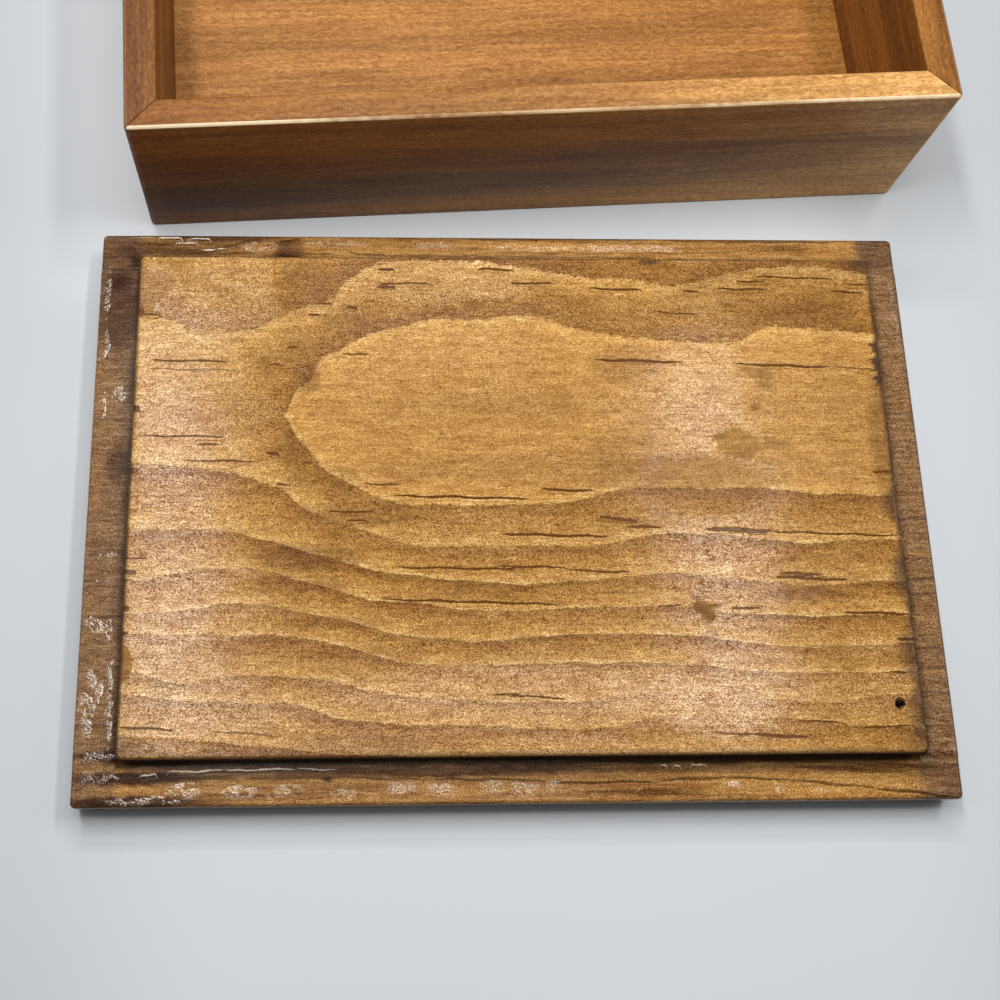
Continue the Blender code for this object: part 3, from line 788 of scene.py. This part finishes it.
class Recipe:
    """One material's nodes, written as short calls. A value is a number or another node's output."""

    def __init__(self, name):
        self.material = bpy.data.materials.new(name)
        self.material.use_nodes = True
        self.tree = self.material.node_tree
        self.tree.nodes.clear()

    def fill(self, socket, value):
        """Links another node's output to the socket, or sets its value."""
        if isinstance(value, bpy.types.NodeSocket):
            self.tree.links.new(value, socket)
        else:
            socket.default_value = value

    def node(self, kind, inputs=None, **settings):
        made = self.tree.nodes.new("ShaderNode" + kind)
        for key, value in settings.items():
            setattr(made, key, value)
        for key, value in (inputs or {}).items():
            self.fill(made.inputs[key], value)
        return made

    def math(self, operation, *values, clamp=False):
        inputs = dict(enumerate(values))
        return self.node("Math", inputs, operation=operation, use_clamp=clamp).outputs[0]

    def add(self, a, b):
        return self.math("ADD", a, b)

    def times(self, a, b):
        return self.math("MULTIPLY", a, b)

    def larger(self, a, b):
        return self.math("MAXIMUM", a, b)

    def scaled(self, vector, factors):
        return self.node("VectorMath", {0: vector, 1: factors}, operation="MULTIPLY").outputs[0]

    def shifted(self, vector, offset):
        return self.node("VectorMath", {0: vector, 1: offset}, operation="ADD").outputs[0]

    def parts(self, vector):
        """The vector's x, y and z outputs."""
        return self.node("SeparateXYZ", {0: vector}).outputs

    def warped(self, vector, amount):
        """The vector led astray a little, and off the grid that the noises have in common."""
        stray = self.node("TexNoise", {"Vector": vector, "Scale": 0.35, "Detail": 2.0})
        centred = self.shifted(stray.outputs["Color"], (-0.5, -0.5, -0.5))
        moved = self.shifted(vector, self.scaled(centred, (amount, amount, amount)))
        return self.shifted(moved, (0.37, 0.61, 0.43))

    def attribute(self, name, output="Fac"):
        return self.node("Attribute", attribute_name=name).outputs[output]

    def noise(self, vector, scale=1.0, detail=2.0, roughness=0.5):
        inputs = {"Vector": vector, "Scale": scale, "Detail": detail, "Roughness": roughness}
        return self.node("TexNoise", inputs).outputs["Fac"]

    def figure(self, vector, per_mm, detail=2.0, roughness=0.5):
        """Noise stretched along the grain: cells per millimetre along it, across it and in depth."""
        return self.noise(self.scaled(vector, per_mm), detail=detail, roughness=roughness)

    def range(self, value, low, high, to_low=0.0, to_high=1.0, smooth=True):
        kind = "SMOOTHSTEP" if smooth else "LINEAR"
        inputs = {"Value": value, 1: low, 2: high, 3: to_low, 4: to_high}
        return self.node("MapRange", inputs, interpolation_type=kind).outputs[0]

    def ramp(self, value, stops):
        """Colours of 0 to 255 over the value, from (place, red, green, blue)."""
        made = self.node("ValToRGB", {"Fac": value})
        elements = made.color_ramp.elements
        while len(elements) < len(stops):
            elements.new(0.5)
        for element, (place, *shade) in zip(elements, stops):
            element.position = place
            element.color = colour(*shade)
        return made.outputs["Color"]

    def mix(self, share, first, second, blend="MIX"):
        made = self.node("Mix", data_type="RGBA", blend_type=blend)
        sockets = {socket.identifier: socket for socket in made.inputs}
        self.fill(sockets["Factor_Float"], share)
        self.fill(sockets["A_Color"], first)
        self.fill(sockets["B_Color"], second)
        return next(socket for socket in made.outputs if socket.identifier == "Result_Color")

    def paint(self, wood, share, red, green, blue):
        return self.mix(share, wood, colour(red, green, blue))

    def bump(self, height, distance, strength=1.0):
        return self.node("Bump", {"Height": height, "Distance": distance, "Strength": strength}).outputs[0]

    def finish(self, base, roughness, normal, specular):
        shader = self.node("BsdfPrincipled", {
            "Base Color": base, "Roughness": roughness, "Normal": normal, "IOR": 1.5,
            "Specular IOR Level": specular,
        })
        self.node("OutputMaterial", {"Surface": shader.outputs[0]})
        return self.material


def fibres(r, board):
    """Fine streaks along the grain, around 0.5, at two scales."""
    long = r.figure(board, (0.06, 1.7, 0.31), 4.0, 0.7)
    short = r.figure(board, (0.35, 3.1, 0.57), 3.0, 0.7)
    return r.add(r.times(long, 0.55), r.times(short, 0.45))


def flecks(r, board):
    """Fine dots of stain and pores, around 0.5."""
    close = {"Vector": r.scaled(board, (3.0, 4.6, 0.9)), "Angle": 0.6}
    turned = r.node("VectorRotate", close, rotation_type="Z_AXIS").outputs[0]
    fine = r.noise(turned, detail=1.0, roughness=0.8)
    coarse = r.figure(board, (0.6, 1.2, 0.7), 2.0, 0.7)
    return r.add(r.times(fine, 0.82), r.times(coarse, 0.18))


def shaded(r, wood, value, dark, light, low=0.36, high=0.64):
    """Wood browner where the value is low and paler where it is high, as stain does: blue goes first."""
    red = r.range(value, low, high, dark, light, smooth=False)
    tint = {0: red, 1: r.math("POWER", red, 1.4), 2: r.math("POWER", red, 2.1)}
    return r.mix(1.0, wood, r.node("CombineColor", tint).outputs[0], "MULTIPLY")


def toned(r, wood, pale, dark, depth):
    """Wood paler where the listed tone is above 0, and darker where it is below."""
    tone = r.attribute("tone")
    wood = r.paint(wood, r.larger(tone, 0.0), *pale)
    return r.paint(wood, r.times(r.math("MINIMUM", tone, 0.0), -depth), *dark)


def streak_darkness(r, board, name):
    """The listed streaks or painted highlight lines, thin and ragged, 0 to 1."""
    parts = r.parts(r.attribute(name, "Vector"))
    rag = r.figure(board, (0.6, 1.5, 1.0), 3.0, 0.7)
    offset = r.math("ABSOLUTE", r.add(parts[0], r.range(rag, 0.2, 0.8, -0.16, 0.16)))
    share = r.math("DIVIDE", offset, r.add(parts[1], 0.001))
    return r.times(r.range(share, 0.5, 1.25, 1.0, 0.0), parts[2])


def ring_colours(r, board):
    """Growth rings: pale lines with a sharp outer edge and a mottled brown zone outside it."""
    wobble = r.figure(board, (0.5, 1.6, 0.3), 3.0, 0.6)
    ring = r.add(r.attribute("ring"), r.range(wobble, 0.2, 0.8, -0.03, 0.03))
    fraction = r.math("FRACT", ring)
    patchy = r.figure(board, (0.022, 0.11, 0.1), 3.0, 0.6)
    band = r.ramp(fraction, SHARP_BAND)
    band = r.mix(r.range(patchy, 0.38, 0.62, 0.0, 0.85), band, r.ramp(fraction, SOFT_BAND))
    speckled = r.times(r.range(ring, 0.995, 1.01), r.range(fraction, 0.9, 0.0, 0.45, 1.0))
    return r.mix(r.range(ring, 0.99, 1.01), r.ramp(ring, HEART_BAND), band), speckled


def plug_wood(r, board, fleck):
    """The plug's wood before any grime: rings, tone, mottle, flecks, fibres and short dark ticks."""
    wood, speckled = ring_colours(r, board)
    # The pale colour is lighter tone, and in the sheen bands also painted sheen
    wood = toned(r, wood, (218, 170, 116), (108, 64, 28), 0.9)
    mottle = r.figure(board, (0.13, 0.42, 0.2), 5.0, 0.65)
    wood = shaded(r, wood, mottle, 0.84, 1.12, 0.34, 0.66)
    calm = shaded(r, wood, fleck, 0.58, 1.36)
    rough = shaded(r, wood, fleck, 0.32, 1.54, 0.38, 0.62)
    wood = r.mix(r.add(r.times(speckled, 0.85), 0.1), calm, rough)
    wood = shaded(r, wood, fibres(r, board), 0.74, 1.22)
    ticks = r.figure(board, (0.2, 2.6, 0.7), 3.0, 0.7)
    return r.paint(wood, r.range(ticks, 0.39, 0.31, 0.0, 0.75), 96, 56, 22)


def plug_marks_and_shade(r, wood, streak):
    """Resin streaks, worn varnish, stain with painted shade at edges and sides, painted shade in the pin
    hole.
    """
    wood = r.paint(wood, r.math("MULTIPLY", streak, 1.5, clamp=True), 100, 54, 4)
    wood = r.paint(wood, r.times(r.attribute("bare"), 0.42), 136, 94, 52)
    # Stain at the plug's edges and in spots, and painted shade along its back edge
    wood = r.paint(wood, r.times(r.attribute("stain_and_shade"), 0.92), 54, 31, 17)
    height = r.parts(r.attribute("board", "Vector"))[2]
    # The plug's upright sides painted nearly black: stain and painted shade
    wood = r.paint(wood, r.range(height, 18.8, 17.8, 0.0, 0.95), 26, 13, 5)
    # The pin hole painted nearly black: painted shade
    wood = r.paint(wood, r.attribute("hole"), 10, 6, 3)
    return r.mix(1.0, wood, PLUG_TINT, "MULTIPLY")


def plug_pine():
    """Varnished pine of the plug: glossy between its flecks, dull where it is bare or stained."""
    r = Recipe("plug_pine")
    board = r.warped(r.attribute("board", "Vector"), 1.3)
    fleck = flecks(r, board)
    streak = streak_darkness(r, board, "streak")
    wood = plug_marks_and_shade(r, plug_wood(r, board, fleck), streak)
    skin = r.noise(board, scale=2.2, detail=2.0, roughness=0.6)
    normal = r.bump(r.add(r.times(skin, 0.018), r.times(streak, -0.05)), MM)
    worn = r.larger(r.attribute("bare"), r.attribute("hole"))
    dirty = r.larger(r.times(r.attribute("stain_and_shade"), 0.6), r.times(streak, 0.3))
    dull = r.range(r.larger(worn, dirty), 0.0, 1.0, 0.07, 0.6)
    gloss = r.range(fleck, 0.41, 0.53, 0.8, 0.07)
    return r.finish(wood, r.larger(gloss, dull), normal, 0.15)


def lip_wood(r, board, along):
    """Wood of the lips: amber and brown along the long sides, greyer across the grain at the ends."""
    long_lip = r.ramp(r.figure(board, (0.02, 0.45, 0.2), 5.0, 0.62), LONG_LIP_BAND)
    end_lip = r.ramp(r.figure(board, (0.25, 1.5, 0.5), 5.0, 0.65), END_LIP_BAND)
    wood = r.mix(r.range(r.math("ABSOLUTE", along), 89.0, 92.0), long_lip, end_lip)
    wood = toned(r, wood, (198, 147, 80), (64, 38, 27), 1.0)
    wood = shaded(r, wood, flecks(r, board), 0.4, 1.56)
    wood = shaded(r, wood, fibres(r, board), 0.66, 1.26)
    wood = r.paint(wood, r.times(streak_darkness(r, board, "streak"), 0.9), 52, 26, 10)
    # Stain and painted shade in the corner at the plug's foot, and darker along the lid's rim
    return r.paint(wood, r.times(r.attribute("stain_and_shade"), 0.9), 34, 18, 8)


def lip_pine():
    """Stained pine of the four lips under thick varnish whose lumps glint, with painted highlights on crests
    and lines.
    """
    r = Recipe("lip_pine")
    flat = r.attribute("board", "Vector")
    board = r.warped(flat, 1.3)
    wood = lip_wood(r, board, r.parts(flat)[0])
    lump = r.figure(board, (1.9, 2.5, 0.7), 1.0)
    clumps = r.range(r.figure(board, (0.5, 0.6, 0.4), 1.0), 0.38, 0.56)
    glint = r.times(r.attribute("glint"), clumps)
    crest = r.range(r.math("ABSOLUTE", r.add(lump, -0.54)), 0.036, 0.014)
    # Painted highlight: pale colour on the lumps' crests and along the listed pooled lines
    painted_highlight = r.larger(r.times(glint, crest), streak_darkness(r, board, "painted_highlight"))
    wood = r.paint(wood, painted_highlight, 255, 238, 216)
    skin = r.noise(board, scale=1.5, detail=3.0, roughness=0.6)
    normal = r.bump(r.add(r.times(skin, 0.006), r.times(glint, r.times(lump, 0.09))), MM)
    return r.finish(wood, 0.1, normal, 0.3)


def along_x_or_y(r, along_x):
    """Places on a board in mm, its length first."""
    flat = r.scaled(r.node("TexCoord").outputs["Object"], (1000.0, 1000.0, 1000.0))
    if along_x:
        return flat
    x, y, z = r.parts(flat)
    return r.node("CombineXYZ", {0: y, 1: x, 2: z}).outputs[0]


def arris_wear_and_highlight(r, flat, outward):
    """1 on the outer edge of a wall's rim, 0 elsewhere."""
    facing = {0: r.node("NewGeometry").outputs["Normal"], 1: outward}
    leaning = r.node("VectorMath", facing, operation="DOT_PRODUCT").outputs["Value"]
    near_rim = r.range(r.parts(flat)[2], RIM_HEIGHT - 0.7, RIM_HEIGHT - 0.3)
    return r.times(near_rim, r.range(leaning, 0.1, 0.3))


def wall_pine(name, along_x, dark, light, outward=(0.0, 0.0, 0.0), fade=None):
    """Stained pine of a wall or of the bottom board: smooth, with the grain along it."""
    r = Recipe(name)
    flat = along_x_or_y(r, along_x)
    board = r.warped(flat, 2.0)
    figure = r.figure(board, (0.006, 0.09, 0.09), 4.0, 0.6)
    grain = r.figure(board, (0.04, 1.1, 1.1), 4.0, 0.65)
    fleck = r.figure(board, (0.7, 1.6, 1.6), 2.0, 0.7)
    wood = r.ramp(figure, ((0.36, *dark), (0.62, *light)))
    wood = shaded(r, wood, grain, 0.78, 1.2)
    wood = shaded(r, wood, fleck, 0.8, 1.2)
    # Painted shade: where a fade is given, the wall gets darker towards one end along its length
    if fade:
        wood = shaded(r, wood, r.parts(flat)[0], *fade)
    # The rim's outer edge painted pale: worn stain and a painted highlight
    worn = r.times(arris_wear_and_highlight(r, flat, outward), r.range(figure, 0.45, 0.6, 0.1, 0.9))
    wood = r.paint(wood, worn, 246, 226, 190)
    skin = r.noise(board, scale=1.2, detail=3.0, roughness=0.6)
    normal = r.bump(r.add(skin, r.times(grain, 0.5)), 0.1 * MM, 0.7)
    return r.finish(wood, 0.42, normal, 0.18)


def dress_box(frame):
    """Pine for the walls and the bottom board. The front wall has painted shade, darker towards its left end.
    """
    tones = ((110, 66, 27), (158, 104, 46))
    woods = {
        "front_wall": wall_pine("pine_front_wall", True, *tones, (0, -1, 0), (0.68, 2.1, -88.0, 107.0)),
        "back_wall": wall_pine("pine_back_wall", True, *tones, (0, 1, 0)),
        "left_wall": wall_pine("pine_left_wall", False, *tones, (-1, 0, 0)),
        "right_wall": wall_pine("pine_right_wall", False, *tones, (1, 0, 0)),
        "bottom_panel": wall_pine("pine_bottom", True, (138, 90, 42), (176, 121, 60)),
    }
    for name, wood in woods.items():
        mesh = frame["nodes"][name].data
        mesh.materials.clear()
        mesh.materials.append(wood)


def painted_floor_light(r, place):
    """Factor on the paper's colour: painted shade beside the lid and behind it, painted light in the gap
    before the box.
    """
    parts = r.parts(place)
    beside = r.range(r.math("ABSOLUTE", parts[0]), *BESIDE)
    behind = r.range(parts[1], *BEHIND)
    in_gap = r.times(r.range(parts[1], *IN_GAP), r.math("SUBTRACT", 1.0, beside))
    painted_shade = r.times(beside, r.add(r.times(behind, PAINTED_SHADE_BEHIND), PAINTED_SHADE_BESIDE))
    factor = r.add(r.math("SUBTRACT", r.times(in_gap, PAINTED_GAP_LIGHT), painted_shade), 1.0)
    return r.node("CombineColor", {0: factor, 1: factor, 2: factor}).outputs[0]


def make_floor():
    """Pale, cool paper under everything, with painted shade beside and behind the lid and painted light in
    the gap.
    """
    r = Recipe("paper")
    place = r.node("TexCoord").outputs["Object"]
    cloud = r.figure(place, (6.0, 6.0, 6.0))
    paper = r.mix(cloud, colour(208, 214, 220), colour(214, 219, 225))
    # Painted shade beside and behind the lid and painted light in the gap, as a factor on the paper's colour
    paper = r.mix(1.0, paper, painted_floor_light(r, place), "MULTIPLY")
    tooth = r.noise(place, scale=900.0, detail=2.0)
    material = r.finish(paper, 0.8, r.bump(tooth, 0.02 * MM, 0.5), 0.2)
    half = FLOOR_HALF
    corners = [(-half, -half, 0.0), (half, -half, 0.0), (half, half, 0.0), (-half, half, 0.0)]
    mesh = bpy.data.meshes.new("paper")
    mesh.from_pydata(corners, [], [(0, 1, 2, 3)])
    mesh.materials.append(material)
    floor = bpy.data.objects.new("paper_floor", mesh)
    bpy.context.scene.collection.objects.link(floor)
    floor.location.z = -FLOOR_DROP


def add_lamp(name, size, place, target, watts):
    """A rectangular lamp that faces a point, its length across the view."""
    lamp = bpy.data.lights.new(name, "AREA")
    lamp.shape = "RECTANGLE"
    lamp.size = size[0] * MM
    lamp.size_y = size[1] * MM
    lamp.energy = watts
    lamp.color = LAMP_COLOUR
    holder = bpy.data.objects.new(name, lamp)
    holder.location = Vector(place) * MM
    back = (Vector(place) - Vector(target)).normalized()
    across = Vector((0.0, 1.0, 0.0)).cross(back).normalized()
    holder.rotation_euler = Matrix((across, back.cross(across), back)).transposed().to_euler()
    bpy.context.scene.collection.objects.link(holder)


def make_lamps():
    """Soft lamps over, beside and behind the box, in a dim room: its front is in shade."""
    for name, (size, (x, y), watts) in LAMPS_ABOVE.items():
        add_lamp(name, size, (x, y, LAMP_HEIGHT), (x, y, 0.0), watts)
    for name, lamp in LAMPS_AROUND.items():
        add_lamp(name, *lamp)
    world = bpy.data.worlds.new("room")
    world.use_nodes = True
    background = world.node_tree.nodes["Background"]
    background.inputs["Color"].default_value = ROOM_COLOUR
    background.inputs["Strength"].default_value = ROOM_STRENGTH
    bpy.context.scene.world = world


def make_camera():
    """The photograph's viewpoint, which looks down over the lid."""
    data = bpy.data.cameras.new("camera")
    data.lens = CAMERA_LENS
    data.sensor_width = CAMERA_SENSOR
    data.shift_x, data.shift_y = CAMERA_SHIFT
    data.clip_start = CAMERA_CLIP
    camera = bpy.data.objects.new("camera", data)
    camera.location = Vector(CAMERA_POSITION) * MM
    camera.rotation_euler = Euler([math.radians(turn) for turn in CAMERA_TURN])
    bpy.context.scene.collection.objects.link(camera)
    bpy.context.scene.camera = camera


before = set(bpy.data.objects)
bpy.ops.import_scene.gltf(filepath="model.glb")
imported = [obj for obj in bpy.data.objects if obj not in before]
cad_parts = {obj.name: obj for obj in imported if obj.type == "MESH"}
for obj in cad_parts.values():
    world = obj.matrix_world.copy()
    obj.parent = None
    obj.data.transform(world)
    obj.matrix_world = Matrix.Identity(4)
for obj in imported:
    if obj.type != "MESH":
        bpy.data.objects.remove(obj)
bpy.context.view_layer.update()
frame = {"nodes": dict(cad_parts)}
make_camera()
make_floor()
make_lamps()
build_lid()
dress_box(frame)
bpy.context.scene.view_settings.view_transform = "Standard"
